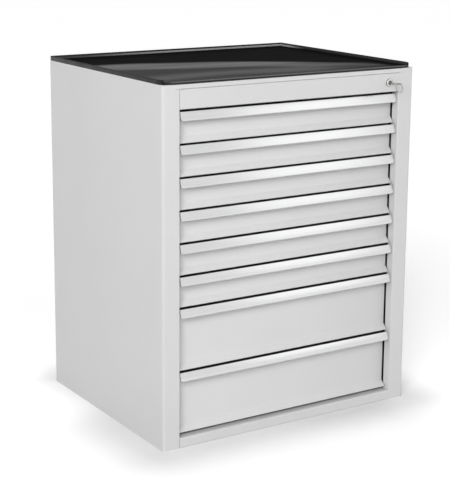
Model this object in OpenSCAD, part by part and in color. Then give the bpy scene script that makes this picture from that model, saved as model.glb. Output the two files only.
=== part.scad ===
// Sheet-steel drawer cabinet with eight drawers, a black moulded top tray and central locking.
// Millimetres. X to the right, Y to the back, Z up. Origin on the floor, at the middle of the base.

/* [Cabinet] */
// overall width of the steel cabinet
body_w = 700; // [640:10:800]
// overall depth of the steel cabinet
body_d = 560; // [560:10:640]
// width of each front stile, beside the drawers
stile_w = 44; // [40:1:50]
// depth of the frame's reveal, from the front to the stile's back edge
reveal_d = 24; // [20:0.5:29]
// sheet thickness of the cabinet
sheet = 1.5; // [1.2:0.1:1.6]
// outside radius of the two bends between the sides and the stiles
corner_r = 7; // [4:0.5:10]
// height of the rail under the drawers
plinth_h = 24; // [20:1:40]
// height of the band over the drawers, which holds the lock
fascia_h = 44.7; // [44:0.1:60]
// height of the steel strip over that band
strip_h = 10; // [9:1:14]

/* [Drawers] */
// height that one shallow drawer takes up, its gap included
shallow_h = 75; // [75:25:100]
// height that one deep drawer takes up, its gap included
deep_h = 150; // [100:25:200]
// open gap between two drawer fronts
front_gap = 3; // [2.5:0.5:4]
// open gap beside a drawer front
side_gap = 3; // [2.5:0.5:4]
// how far a drawer pulls out
travel = 460; // [400:10:460]
// sheet thickness of the drawers
drawer_sheet = 1.2; // [1:0.1:1.2]
// height of the handle's lip
lip_h = 20.5; // [18:0.5:26]

/* [Top tray] */
// height of the tray's side and back rims over the steel
rim_h = 11; // [9:1:16]
// height of the tray's front rim over the steel
front_rim_h = 6; // [5:0.5:7]
// radius of the tray's two front corners, seen from above
tray_r = 28; // [20:1:36]

/* [Hidden] */
$fn = 96;
SHALLOW_COUNT = 6;
DEEP_COUNT = 2;
COUNT = SHALLOW_COUNT + DEEP_COUNT;

// face to face, and clear of each other
touch = 0.2;
seam = 0.8;
run = 0.08;
slant_lap = 0.01;

// heights of the whole, from the floor up
under_fascia = 4.5;
stack_z = plinth_h + 5;
stack_h = SHALLOW_COUNT * shallow_h + DEEP_COUNT * deep_h;
fascia_z = stack_z + stack_h + under_fascia;
strip_z = fascia_z + fascia_h + seam;
body_h = strip_z + strip_h;

// drawer 1 is the top one
function module_h(i) = i <= SHALLOW_COUNT ? shallow_h : deep_h;
function module_z(i) = i == COUNT ? stack_z : module_z(i + 1) + module_h(i + 1);

// widths from the middle, and depths from the front
half_open = body_w / 2 - stile_w;
side_in = body_w / 2 - sheet;
fold_r = 1;
back_t = 1.2;

// depths of the locking parts, which stand before the rails
cam_y = 25.2;
cam_t = 2.4;
lockbar_y = cam_y + cam_t + 9.4;
lockbar_t = 2.5;
tab_t = 2.5;

// telescopic rails
rail_t = 1.5;
rail_y = lockbar_y + lockbar_t + tab_t + 1.5;
rail_len = body_d - rail_y - 28;
rail_in_h = 23;
rail_h = rail_in_h + 2 * rail_t;
rail_up = 29;
bar_t = 2;
bar_out = half_open - 1;
bar_in = bar_out - bar_t;
rail_depth = 9.5;
fixed_in = half_open + 1.5;
fixed_out = fixed_in + rail_depth - 0.5;
moving_out = bar_in - 1.5;
box_half = moving_out - rail_depth;
roller_r = rail_in_h / 2 - 0.3;
roller_w = 7;
pin_r = 3;
pin_head_r = 4.5;
pin_head_t = 0.9;
roller_end = 15;
stage = travel / 2;
roller_front = rail_y + roller_end;
roller_mid = roller_front + stage;
roller_back = roller_mid + stage;

// drawer fronts and boxes
front_half = half_open - side_gap;
panel_y = reveal_d + 2;
lip_top_y = 7;
lip_low_y = 2.2;
handle_t = 2;
handle_step = 4;
handle_half = front_half - 1.5;
toe_y = 12.5;
toe_h = 14.5;
hem = 6;
edge_fold = 7;
box_y = panel_y + drawer_sheet + touch;
box_back = rail_y + rail_len;
box_up = 11;
box_short = 23;
box_hem = 5;

// posts that carry the rails
post_w = 40;
post_x = fixed_out;
post_out = side_in - sheet - touch;
front_post_y = rail_y + 4;
back_post_y = body_d - 95;
slot_pitch = 25;
slot_w = 4;
slot_h = 14;
hook_t = 2.4;

// central locking
lock_x = half_open - 29;
lock_z = fascia_z + fascia_h / 2;
lock_r = 10;
barrel_r = 8;
plug_r = 5.5;
barrel_y = 24;
stroke = 12;
cam_r = stroke / sqrt(2);
cam_pin_r = 2;
lockbar_x = half_open + 2;
lockbar_w = 18;
catch_up = 50;
catch_h = 8;
catch_y = rail_y + 1;
tab_h = 6;
tab_up = catch_up + catch_h + 2.5;
tab_x = moving_out - 6;

// key and its ring
key_t = 2;
bow_r = 12;
bow_y = -27;
bow_hole_r = 4.2;
bow_margin = 3.5;
ring_r = 11;
ring_wire = 0.8;

part_grey = [0.84, 0.85, 0.85];
steel = [0.72, 0.73, 0.75];
alu = [0.9, 0.9, 0.91];
black = [0.1, 0.1, 0.11];
white_plastic = [0.9, 0.9, 0.88];

DRAWER_KINDS = ["drawer_front_", "drawer_box_", "drawer_handle_", "drawer_rails_", "middle_rails_"];
FIXED = ["left_side_panel", "right_side_panel", "back_panel", "base_pan", "plinth_rail", "top_panel",
    "fascia", "top_tray", "rail_posts", "cabinet_rails", "back_rivets", "lock_barrel", "lock_nut",
    "lock_plug", "lock_cam", "key", "key_ring", "lock_bar", "lock_bar_tabs", "lock_bar_guides"];

// ---- helpers ----

// from the plane of the front to the middle of the base
module placed() {
    translate([0, -body_d / 2, 0]) children();
}

// a flat shape drawn in Y and Z, as long as len along X
module along_x(len) {
    rotate([90, 0, 90]) linear_extrude(len, center = true) children();
}

// a flat shape drawn in X and Z, from y on, as long as len along Y
module along_y(y, len) {
    translate([0, y + len, 0]) rotate([90, 0, 0]) linear_extrude(len) children();
}

module both_sides() {
    children();
    mirror([1, 0, 0]) children();
}

function unit(a) = a / norm(a);
function cross2(a, b) = a[0] * b[1] - a[1] * b[0];

// how far from a corner point its bend begins
function setback(path, radii, thick, i) =
    (i == 0 || i == len(path) - 1) ? 0 :
    let (u = unit(path[i] - path[i - 1]), v = unit(path[i + 1] - path[i]))
    (radii[i - 1] + thick / 2) * tan(acos(u * v) / 2);

// a sheet of the given thickness, folded along the corner points of a path, each bend with its inside radius
module folded(path, radii, thick, lap = 0) {
    last = len(path) - 1;
    for (i = [0:last - 1]) {
        u = unit(path[i + 1] - path[i]);
        // a slanted length laps a hair into its bends, so that the two fuse
        from = setback(path, radii, thick, i) - (i > 0 ? lap : 0);
        to = norm(path[i + 1] - path[i]) - setback(path, radii, thick, i + 1) + (i < last - 1 ? lap : 0);
        translate(path[i] + u * from)
            rotate(atan2(u[1], u[0]))
            translate([0, -thick / 2])
            square([to - from, thick]);
    }
    for (i = [1:last - 1]) {
        u = unit(path[i] - path[i - 1]);
        v = unit(path[i + 1] - path[i]);
        s = sign(cross2(u, v));
        m = [-u[1], u[0]] * s;
        n = [-v[1], v[0]] * s;
        reach = 4 * (radii[i - 1] + thick);
        c = path[i] - u * setback(path, radii, thick, i) + m * (radii[i - 1] + thick / 2);
        intersection() {
            translate(c) difference() {
                circle(r = radii[i - 1] + thick);
                circle(r = radii[i - 1]);
            }
            polygon([c, c - m * reach, c - unit(m + n) * reach * 1.5, c - n * reach]);
        }
    }
}

// a rectangle from the front back, its front and back corners rounded
module plan(w, d, front_r, back_r) {
    translate([-w / 2, front_r]) square([w, d - front_r - back_r]);
    translate([-w / 2 + front_r, 0]) square([w - 2 * front_r, front_r + 1]);
    translate([-w / 2 + back_r, d - back_r - 1]) square([w - 2 * back_r, back_r + 1]);
    for (s = [-1, 1]) {
        translate([s * (w / 2 - front_r), front_r]) circle(r = front_r);
        translate([s * (w / 2 - back_r), d - back_r]) circle(r = back_r);
    }
}

// ---- cabinet ----

module side_panel() {
    h = sheet / 2;
    stiffener = 12;
    back_flange = 22;
    hole_r = 4;
    hole_y = 282;
    hole_z = 8;
    path = [
        [half_open + h + stiffener, reveal_d - h],
        [half_open + h, reveal_d - h],
        [half_open + h, h],
        [body_w / 2 - h, h],
        [body_w / 2 - h, body_d - h],
        [body_w / 2 - back_flange, body_d - h]
    ];
    color(part_grey) difference() {
        linear_extrude(body_h) folded(path, [fold_r, 0.5, corner_r - sheet, fold_r], sheet);
        // room for the top strip, which crosses the stile
        translate([half_open - 1, -1, strip_z - seam / 2])
            cube([stiffener + 2, reveal_d + 2, strip_h + 2]);
        translate([body_w / 2 - 10, hole_y, hole_z]) rotate([0, 90, 0]) cylinder(r = hole_r, h = 20);
        translate([body_w / 2 - rivet_in, body_d - 5, 0]) rivet_holes();
    }
}

rivet_in = 12;
rivet_r = 2;
RIVETS = 6;
function rivet_z(k) = 40 + k * (body_h - 80) / (RIVETS - 1);

module rivet_holes() {
    for (k = [0:RIVETS - 1])
        translate([0, -5, rivet_z(k)]) rotate([-90, 0, 0]) cylinder(r = rivet_r + 0.05, h = 20);
}

module back_rivets() {
    head_r = 4;
    head_t = 1;
    y = body_d - sheet - back_t;
    color(steel) both_sides() for (k = [0:RIVETS - 1])
        translate([body_w / 2 - rivet_in, 0, rivet_z(k)]) {
            translate([0, y - 1.6, 0]) rotate([-90, 0, 0]) cylinder(r = 2.6, h = 1.6);
            translate([0, y - 0.5, 0]) rotate([-90, 0, 0]) cylinder(r = rivet_r, h = back_t + sheet + 1);
            translate([0, body_d, 0]) rotate([-90, 0, 0]) cylinder(r1 = head_r, r2 = head_r - head_t, h = head_t);
        }
}

module back_panel() {
    y = body_d - sheet - back_t / 2;
    top = body_h - sheet - touch - back_t / 2;
    low = sheet + touch + back_t / 2;
    flange = 14;
    path = [[y - flange, low], [y, low], [y, top], [y - flange, top]];
    color(part_grey) difference() {
        along_x(2 * (side_in - sheet - 2 * touch)) folded(path, [fold_r, fold_r], back_t);
        both_sides() translate([body_w / 2 - rivet_in, body_d - 10, 0]) rivet_holes();
    }
}

module base_pan() {
    fold_h = 20;
    y0 = 22;
    y1 = body_d - sheet - back_t - touch;
    color(part_grey) {
        translate([-half_open + touch, y0, 0]) cube([2 * (half_open - touch), reveal_d + 2 - y0, sheet]);
        difference() {
            translate([-side_in + touch, reveal_d + 1, 0]) cube([2 * (side_in - touch), y1 - reveal_d - 1, fold_h]);
            translate([-side_in + touch + sheet, reveal_d, sheet])
                cube([2 * (side_in - touch - sheet), y1 - reveal_d + 5, fold_h]);
        }
    }
}

module plinth_rail() {
    h = sheet / 2;
    path = [
        [21, h],
        [h, h],
        [h, plinth_h - h],
        [panel_y + 1, plinth_h - h],
        [panel_y + 1, plinth_h - 10]
    ];
    color(part_grey) along_x(2 * (half_open - touch)) folded(path, [fold_r, fold_r, fold_r], sheet);
}

module top_panel() {
    h = sheet / 2;
    edge = 12;
    top = body_h - h;
    // past the bend of each stile
    half_strip = half_open + edge + 1;
    y1 = body_d - sheet - back_t - touch;
    deck_y = 3;
    path = [[h, strip_z], [h, top], [reveal_d, top]];
    color(part_grey) {
        along_x(2 * (half_strip - touch / 2)) folded(path, [fold_r], sheet);
        translate([0, deck_y, body_h - sheet])
            linear_extrude(sheet)
            plan(2 * (side_in - touch), y1 - deck_y, corner_r - sheet, 1);
        both_sides() translate([side_in - touch - sheet, reveal_d, body_h - edge])
            cube([sheet, y1 - reveal_d - 5, edge]);
    }
}

module fascia() {
    h = back_t / 2;
    back = 24;
    tab_len = 18;
    tab_side = half_open - touch;
    path = [
        [back, fascia_z + 8],
        [back, fascia_z + h],
        [h, fascia_z + h],
        [h, fascia_z + fascia_h - h],
        [back, fascia_z + fascia_h - h]
    ];
    color(part_grey) difference() {
        union() {
            along_x(2 * tab_side) folded(path, [fold_r, fold_r, fold_r], back_t);
            both_sides() translate([tab_side - back_t - 0.1, h, fascia_z + 5]) cube([back_t, tab_len, fascia_h - 10]);
        }
        translate([lock_x, -1, lock_z]) rotate([-90, 0, 0]) cylinder(r = barrel_r + 0.1, h = 5);
    }
}

// the rim's section: distance in from the outer edge, and height over the steel
module rim_section(h) {
    wall = 3;
    floor_t = 2.5;
    fillet = 4;
    round_r = wall / 2;
    translate([0, 0]) square([wall, h - round_r]);
    translate([round_r, h - round_r]) circle(r = round_r);
    square([wall + fillet + 2, floor_t]);
    if (h > floor_t + fillet)
        difference() {
            translate([wall - 0.5, floor_t - 0.5]) square([fillet + 0.5, fillet + 0.5]);
            translate([wall + fillet, floor_t + fillet]) circle(r = fillet);
        }
}

// the rim round a corner of radius r
module rim_bend(r, h, angle) {
    rotate_extrude(angle = angle) intersection() {
        translate([r, 0]) mirror([1, 0]) rim_section(h);
        square([r, h]);
    }
}

module top_tray() {
    w = body_w - 0.6;
    d = body_d - 0.6;
    hw = w / 2;
    back_r = 4;
    floor_t = 2.5;
    // the tray's parts overlap by this much
    lap = 2;
    relief = 2.2;
    color(black) translate([0, 0.3, body_h]) difference() {
        union() {
            // floor
            translate([0, lap, 0]) linear_extrude(floor_t) plan(w - 2 * lap, d - 2 * lap, tray_r - lap, back_r - lap);
            // front rim
            translate([0, 0, 0]) along_x(w - 2 * tray_r) rim_section(front_rim_h);
            // side rims
            both_sides() translate([-hw, 0, 0]) along_y(tray_r, d - tray_r - back_r) rim_section(rim_h);
            // back rim
            translate([0, d, 0]) mirror([0, 1, 0]) along_x(w - 2 * back_r) rim_section(rim_h);
            // corners: the front ones are high as far as their middle
            both_sides() {
                translate([hw - tray_r, tray_r, 0]) mirror([0, 1, 0]) rim_bend(tray_r, rim_h, 45);
                translate([hw - tray_r, tray_r, 0]) mirror([0, 1, 0]) rim_bend(tray_r, front_rim_h, 90);
                translate([hw - back_r, d - back_r, 0]) rim_bend(back_r, rim_h, 90);
            }
        }
        // relief slot where the high rim meets the low one
        both_sides() translate([hw - tray_r, tray_r, floor_t]) rotate([0, 0, -45])
            translate([tray_r - 3.5, -relief / 2, 0]) cube([6, relief, rim_h]);
    }
}

// ---- rails ----

module rail_posts() {
    h = sheet / 2;
    foot = sheet;
    height = body_h - 20 - foot;
    color(steel) both_sides() for (y = [front_post_y, back_post_y])
        difference() {
            translate([0, 0, foot]) linear_extrude(height) folded([
                [post_out, y + h],
                [post_x + h, y + h],
                [post_x + h, y + post_w - h],
                [post_out, y + post_w - h]
            ], [fold_r, fold_r], sheet);
            // a slot for each drawer's rail, and more above it at the same pitch
            for (i = [1:COUNT]) for (k = [0:floor(module_h(i) / slot_pitch) - 1])
                translate([post_x - 2, y + post_w / 2, module_z(i) + rail_up + k * slot_pitch])
                    translate([0, -slot_w / 2, -slot_h / 2]) cube([sheet + 3, slot_w, slot_h]);
        }
}

// a channel that is open towards x = 0, its web's outer face at x = out
module channel(out, depth) {
    h = rail_t / 2;
    z = rail_h / 2 - h;
    folded([[out - depth, z], [out - h, z], [out - h, -z], [out - depth, -z]], [0.5, 0.5], rail_t);
}

module cabinet_rails() {
    lip = 5;
    color(steel) both_sides() for (i = [1:COUNT]) translate([0, 0, module_z(i) + rail_up]) {
        along_y(rail_y, rail_len) channel(fixed_out, fixed_out - fixed_in);
        // end stops for the rollers
        for (y = [rail_y, rail_y + rail_len - rail_t])
            translate([fixed_in + 3, y, -rail_in_h / 2 - 0.2]) cube([fixed_out - fixed_in - 3.5, rail_t, rail_in_h + 0.4]);
        // hooks in the posts' slots
        for (y = [front_post_y, back_post_y]) translate([fixed_out - 0.5, y + post_w / 2 - hook_t / 2, 0]) {
            translate([0, 0, -4]) cube([5, hook_t, 9]);
            translate([0.5 + sheet + 0.3, 0, -4 - lip]) cube([2.7, hook_t, 9 + lip]);
        }
    }
}

module roller(x, y) {
    translate([x, y, 0]) rotate([0, 90, 0]) difference() {
        union() {
            cylinder(r = roller_r, h = roller_w);
            translate([0, 0, -0.3]) cylinder(r = pin_r + 2.5, h = roller_w + 0.3);
        }
        translate([0, 0, -1]) cylinder(r = pin_r + run, h = roller_w + 2);
    }
}

module pin(x0, x1, y) {
    translate([x0, y, 0]) rotate([0, 90, 0]) cylinder(r = pin_r, h = x1 - x0);
}

module pin_head(x, y) {
    translate([x, y, 0]) rotate([0, 90, 0]) cylinder(r = pin_head_r, h = pin_head_t);
}

module middle_rails(i) {
    out_x = bar_out + 0.6;
    in_x = bar_in - 0.6 - roller_w;
    bar_h = rail_in_h + 1;
    translate([0, 0, module_z(i) + rail_up]) both_sides() {
        color(steel) union() {
            translate([bar_in, rail_y, -bar_h / 2]) cube([bar_t, rail_len, bar_h]);
            for (y = [roller_mid, roller_back]) {
                pin(bar_in, out_x + roller_w + 0.5, y);
                pin_head(out_x + roller_w + 0.1, y);
            }
            for (y = [roller_front, roller_mid]) {
                pin(in_x - 0.5, bar_out, y);
                pin_head(in_x - 0.1 - pin_head_t, y);
            }
        }
        color(white_plastic) {
            for (y = [roller_mid, roller_back]) roller(out_x, y);
            for (y = [roller_front, roller_mid]) translate([2 * in_x + roller_w, 0, 0]) mirror([1, 0, 0]) roller(in_x, y);
        }
    }
}

module drawer_rail() {
    translate([2 * box_half + rail_depth, 0, 0]) mirror([1, 0, 0])
        along_y(rail_y, rail_len) channel(box_half + rail_depth, rail_depth);
    for (y = [rail_y, rail_y + rail_len - rail_t])
        translate([box_half + 0.5, y, -rail_in_h / 2 - 0.2]) cube([rail_depth - 4, rail_t, rail_in_h + 0.4]);
}

module drawer_rails(i) {
    catch_t = 2.5;
    catch_len = 18;
    color(steel) translate([0, 0, module_z(i)]) {
        translate([0, 0, rail_up]) mirror([1, 0, 0]) drawer_rail();
        // the right-hand rail carries the catch that the locking tab stands in front of
        union() {
            translate([0, 0, rail_up]) drawer_rail();
            translate([box_half, catch_y, rail_up]) cube([rail_t, catch_len, catch_up + catch_h - rail_up]);
            translate([box_half, catch_y, catch_up]) cube([bar_out - 1.5 - box_half, catch_t, catch_h]);
        }
    }
}

// ---- drawers ----

module drawer_front(i) {
    h = drawer_sheet / 2;
    z0 = module_z(i) + front_gap / 2;
    top = module_z(i) + module_h(i) - front_gap / 2 - handle_step - handle_t - touch;
    path = [
        [toe_y + hem, z0 + h],
        [toe_y + h, z0 + h],
        [panel_y + h, z0 + toe_h],
        [panel_y + h, top]
    ];
    color(part_grey) {
        along_x(2 * front_half) folded(path, [0.4, 1.5], drawer_sheet, slant_lap);
        both_sides() translate([front_half - drawer_sheet, panel_y + 0.2, z0 + toe_h + 4])
            cube([drawer_sheet, edge_fold - 0.2, top - z0 - toe_h - 4 - 3]);
    }
}

// the handle's section: the lip ends in a ridge, and a plate behind it lies over the edge of the front panel
module handle_section() {
    bead_r = 1.4;
    leg_t = 1.5;
    low_z = -lip_h + bead_r;
    back_y = panel_y + drawer_sheet + touch + leg_t;
    under = handle_step + handle_t;
    ridge_y = lip_top_y + handle_t;
    // where the slanted back of the lip meets the plate
    inner_y = ridge_y + (lip_top_y - lip_low_y) * under / low_z;
    polygon([
        [back_y, -handle_step],
        [ridge_y, -handle_step],
        [ridge_y, 0],
        [lip_top_y, 0],
        [lip_low_y, low_z],
        [lip_low_y + handle_t, low_z],
        [inner_y, -under],
        [back_y, -under]
    ]);
    translate([lip_low_y + handle_t / 2, low_z]) circle(r = bead_r);
    // the two legs that grip the front panel
    translate([panel_y - touch - leg_t, -under - 5]) square([leg_t, 6]);
    translate([back_y - leg_t, -under - 2.5]) square([leg_t, 3.5]);
}

module drawer_handle(i) {
    top = module_z(i) + module_h(i) - front_gap / 2;
    corner = 7.5;
    color(alu) translate([0, 0, top]) difference() {
        along_x(2 * handle_half) handle_section();
        // rounded lower corners of the lip
        both_sides() translate([handle_half - corner, -5, -lip_h + corner]) rotate([-90, 0, 0])
            linear_extrude(lip_top_y + 12) difference() {
                translate([0, 0]) square([corner + 5, corner + 5]);
                circle(r = corner);
            }
    }
}

module drawer_box(i) {
    z0 = module_z(i) + box_up;
    top = module_z(i) + module_h(i) - box_short + box_up;
    h = drawer_sheet / 2;
    x = box_half - h;
    len = box_back - box_y;
    side = [[x - box_hem, top - h], [x, top - h], [x, z0 + h], [-x, z0 + h], [-x, top - h], [-x + box_hem, top - h]];
    color(part_grey) {
        along_y(box_y, len) folded(side, [0.4, fold_r, fold_r, 0.4], drawer_sheet);
        // front and back walls, between the sides
        for (y = [box_y, box_back - drawer_sheet])
            translate([-x, y, z0 + h]) cube([2 * x, drawer_sheet, top - z0 - 2 * h]);
        for (y = [box_y, box_back - box_hem])
            translate([-x + box_hem - 0.5, y, top - drawer_sheet]) cube([2 * (x - box_hem) + 1, box_hem, drawer_sheet]);
    }
}

// ---- lock ----

module lock_barrel() {
    flange_t = 2.8;
    color(steel) translate([lock_x, 0, lock_z]) rotate([-90, 0, 0]) rotate_extrude() polygon([
        [plug_r + run, -flange_t],
        [lock_r - 1.2, -flange_t],
        [lock_r, -flange_t + 1.2],
        [lock_r, 0],
        [barrel_r, 0],
        [barrel_r, barrel_y],
        [plug_r + run, barrel_y]
    ]);
}

module lock_nut() {
    nut_r = 13;
    nut_t = 5;
    color(steel) translate([lock_x, back_t, lock_z]) rotate([-90, 0, 0]) difference() {
        cylinder(r = nut_r, h = nut_t, $fn = 6);
        translate([0, 0, -1]) cylinder(r = barrel_r + 0.05, h = nut_t + 2);
    }
}

module lock_plug() {
    spigot_r = 4;
    slot_half = 4.2;
    slot_t = 2.4;
    screw_r = 2;
    color(alu) translate([lock_x, 0, lock_z]) difference() {
        rotate([-90, 0, 0]) rotate_extrude() polygon([
            [0, -2.6], [plug_r, -2.6], [plug_r, cam_y - 0.1],
            [spigot_r, cam_y - 0.1], [spigot_r, cam_y + cam_t], [0, cam_y + cam_t]
        ]);
        translate([-slot_half, -5, -slot_t / 2]) cube([2 * slot_half, 23, slot_t]);
        translate([0, cam_y - 6, 0]) rotate([-90, 0, 0]) cylinder(r = screw_r + 0.05, h = 12);
    }
}

module lock_cam() {
    a = cam_r * cos(45);
    end_r = 4;
    arm = 2.6;
    color(steel) translate([lock_x, 0, lock_z]) {
        along_y(cam_y, cam_t) difference() {
            union() {
                circle(r = 8);
                polygon([[-arm, arm], [arm, -arm], [a + arm, a - arm], [a - arm, a + arm]]);
                translate([a, a]) circle(r = end_r);
            }
            circle(r = 4.05);
        }
        translate([a, cam_y + cam_t - 0.5, a]) rotate([-90, 0, 0])
            cylinder(r = cam_pin_r, h = lockbar_y + lockbar_t + 1.5 - cam_y - cam_t + 0.5);
        // screw that holds the cam on the plug
        translate([0, cam_y - 5, 0]) rotate([-90, 0, 0]) cylinder(r = 2, h = cam_t + 5.2);
        translate([0, cam_y + cam_t + 0.1, 0]) rotate([-90, 0, 0]) cylinder(r = 4.4, h = 2);
    }
}

module key() {
    blade_half = 3.8;
    neck_half = 5;
    shoulder_y = -2.9;
    tip_y = 16;
    cut_r = 1.6;
    color(alu) translate([lock_x, 0, lock_z - key_t / 2]) linear_extrude(key_t) difference() {
        union() {
            translate([-blade_half, shoulder_y - 1]) square([2 * blade_half, tip_y - shoulder_y + 1 - 3]);
            polygon([
                [-blade_half, tip_y - 3.5], [blade_half, tip_y - 3.5], [blade_half, tip_y - 3],
                [1.2, tip_y], [-1.2, tip_y], [-blade_half, tip_y - 3]
            ]);
            translate([-neck_half, bow_y]) square([2 * neck_half, shoulder_y - bow_y]);
            translate([0, bow_y]) circle(r = bow_r);
        }
        translate([0, bow_y - bow_r + bow_margin + bow_hole_r]) circle(r = bow_hole_r);
        // cuts in the blade's two edges
        for (k = [0:3]) {
            translate([blade_half + 0.4, 1.5 + 3.1 * k]) circle(r = cut_r);
            translate([-blade_half - 0.6, 3 + 3.1 * k]) circle(r = cut_r);
        }
    }
}

module key_ring() {
    // the ring's inside rests just over the edge of the bow
    rest_r = ring_r - ring_wire - 0.3;
    y = bow_y - bow_r + bow_margin / 2;
    z = lock_z + key_t / 2 - sqrt(rest_r * rest_r - bow_margin * bow_margin / 4);
    color(steel) translate([lock_x, y, z]) rotate([0, 90, 0])
        rotate_extrude() translate([ring_r, 0]) circle(r = ring_wire);
}

module lock_bar() {
    low = stack_z + 12;
    // the head reaches over to the cam, and its slot takes the cam's pin
    head_z = lock_z + stroke / 2;
    head_half = 7;
    slot_half = cam_pin_r + 0.6;
    slot_x = lock_x + stroke / 2 - cam_pin_r - 0.6;
    slot_end = lock_x + cam_r + cam_pin_r + 0.6;
    head_x = slot_x - 4;
    color(steel) difference() {
        union() {
            translate([lockbar_x, lockbar_y, low]) cube([lockbar_w, lockbar_t, head_z + head_half - low]);
            translate([head_x, lockbar_y, head_z - head_half]) cube([lockbar_x - head_x + 1, lockbar_t, 2 * head_half]);
        }
        translate([slot_x, lockbar_y - 1, head_z - slot_half]) cube([slot_end - slot_x, lockbar_t + 2, 2 * slot_half]);
    }
}

// each tab is welded on the back of the bar
module lock_bar_tabs() {
    foot = 12;
    color(steel) for (i = [1:COUNT])
        translate([tab_x, lockbar_y + lockbar_t, module_z(i) + tab_up])
            cube([lockbar_x + foot - tab_x, tab_t, tab_h]);
}

module lock_bar_guides() {
    left = half_open + 0.4;
    width = 34;
    cheek = 1.3;
    gap = 0.25;
    up = 6;
    y0 = lockbar_y - gap - cheek;
    color(white_plastic) for (i = [2, 5, 8]) translate([0, 0, module_z(i) + up]) difference() {
        translate([left, y0, -up]) cube([width, front_post_y - y0, 2 * up]);
        translate([lockbar_x - gap, lockbar_y - gap, -up - 1])
            cube([lockbar_w + 2 * gap, lockbar_t + 2 * gap, 2 * up + 2]);
    }
}

// ---- nodes ----

placed() mirror([1, 0, 0]) side_panel();  // left_side_panel
placed() side_panel();  // right_side_panel
placed() back_panel();
placed() base_pan();
placed() plinth_rail();
placed() top_panel();
placed() fascia();
placed() top_tray();
placed() rail_posts();
placed() cabinet_rails();
placed() back_rivets();
placed() lock_barrel();
placed() lock_nut();
placed() lock_plug();
placed() lock_cam();
placed() key();
placed() key_ring();
placed() lock_bar();
placed() lock_bar_tabs();
placed() lock_bar_guides();
for (i = [1:COUNT]) {
    placed() drawer_front(i);
    placed() drawer_box(i);
    placed() drawer_handle(i);
    placed() drawer_rails(i);
    placed() middle_rails(i);
}
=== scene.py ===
# %% [markdown]
# # A steel drawer cabinet with a black top tray
#
# The real object is a cabinet folded from thin sheet steel and powder coated in light grey. Eight
# drawers run on telescopic roller rails, each with a bright aluminium lip as its handle. A black
# plastic tray with a raised rim lies on top, and one lock at the top right holds all the drawers.
#
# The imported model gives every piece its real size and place, and it is never moved here. This
# lesson adds what a measured model lacks: the finishes, the soft edges and the small shapes.

# %% Load the frame
import math

import bmesh
import bpy
from mathutils import Matrix, Vector


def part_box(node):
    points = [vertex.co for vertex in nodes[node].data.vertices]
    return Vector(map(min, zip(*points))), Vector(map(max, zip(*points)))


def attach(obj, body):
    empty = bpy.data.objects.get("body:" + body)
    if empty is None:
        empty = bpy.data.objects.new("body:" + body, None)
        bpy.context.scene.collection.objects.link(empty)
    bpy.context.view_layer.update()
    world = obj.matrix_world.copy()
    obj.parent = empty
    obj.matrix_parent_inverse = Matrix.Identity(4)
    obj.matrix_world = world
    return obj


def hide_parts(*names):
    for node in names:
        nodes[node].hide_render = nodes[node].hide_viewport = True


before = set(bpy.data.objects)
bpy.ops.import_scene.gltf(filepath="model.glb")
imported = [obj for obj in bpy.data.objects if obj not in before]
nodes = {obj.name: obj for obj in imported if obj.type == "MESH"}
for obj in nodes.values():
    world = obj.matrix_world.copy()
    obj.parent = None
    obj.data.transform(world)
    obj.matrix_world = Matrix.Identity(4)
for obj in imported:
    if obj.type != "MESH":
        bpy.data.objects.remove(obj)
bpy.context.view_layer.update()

MM = 0.001
DRAWERS = range(1, 9)

# %% [markdown]
# ## The camera
#
# The picture was taken from the left of the front, with a long lens and from a little above the top.
# Its place comes from the cabinet's own corners: each corner's place in the picture and its place on
# the cabinet give the lens, the height and the turn. The frame is shifted a little, as a product
# photographer slides the film, and the camera is also tipped down a little, so upright edges lean slightly.

# %% Camera
camera = bpy.data.objects.new("camera", bpy.data.cameras.new("camera"))
bpy.context.scene.collection.objects.link(camera)
right = Vector((0.843665, -0.536823, 0.007059))
up = Vector((0.106261, 0.179858, 0.977936))
back = Vector((-0.526249, -0.824301, 0.208783))
place = Matrix((right, up, back)).transposed().to_4x4()
place.translation = Vector((-1.8041, -2.8113, 1.2227))
camera.matrix_world = place
camera.data.lens = 98.26
camera.data.shift_y = -0.11
camera.data.clip_start = 0.05
camera.data.clip_end = 60
bpy.context.scene.camera = camera
print(f"camera {camera.location.length:.2f} m from the origin")

# %% [markdown]
# ## The studio
#
# A pale floor and a white room. The world lights everything softly, as a white tent does, and much
# less from overhead, so the slanted toes of the drawers come out darker than the upright panels. To
# the camera and in mirrors the room is plain white. A lamp to the left of the camera gives the shadow
# at the right. A low box in front reaches under the lips, and no surface mirrors it. What the bright
# metal mirrors is a soft box at the right of the front: its edge gives each lip a darker left end and
# a bright middle.


# %% World
def maths(tree, operation, a, b=None, c=None):
    """One Math node; a, b and c are sockets or numbers."""
    node = tree.nodes.new("ShaderNodeMath")
    node.operation = operation
    for k, v in enumerate((a, b, c)):
        if v is None:
            continue
        if isinstance(v, (int, float)):
            node.inputs[k].default_value = v
        else:
            tree.links.new(v, node.inputs[k])
    return node.outputs[0]


def apart(tree, vector):
    """The three parts of a vector."""
    node = tree.nodes.new("ShaderNodeSeparateXYZ")
    tree.links.new(vector, node.inputs[0])
    return node.outputs[0], node.outputs[1], node.outputs[2]


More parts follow.
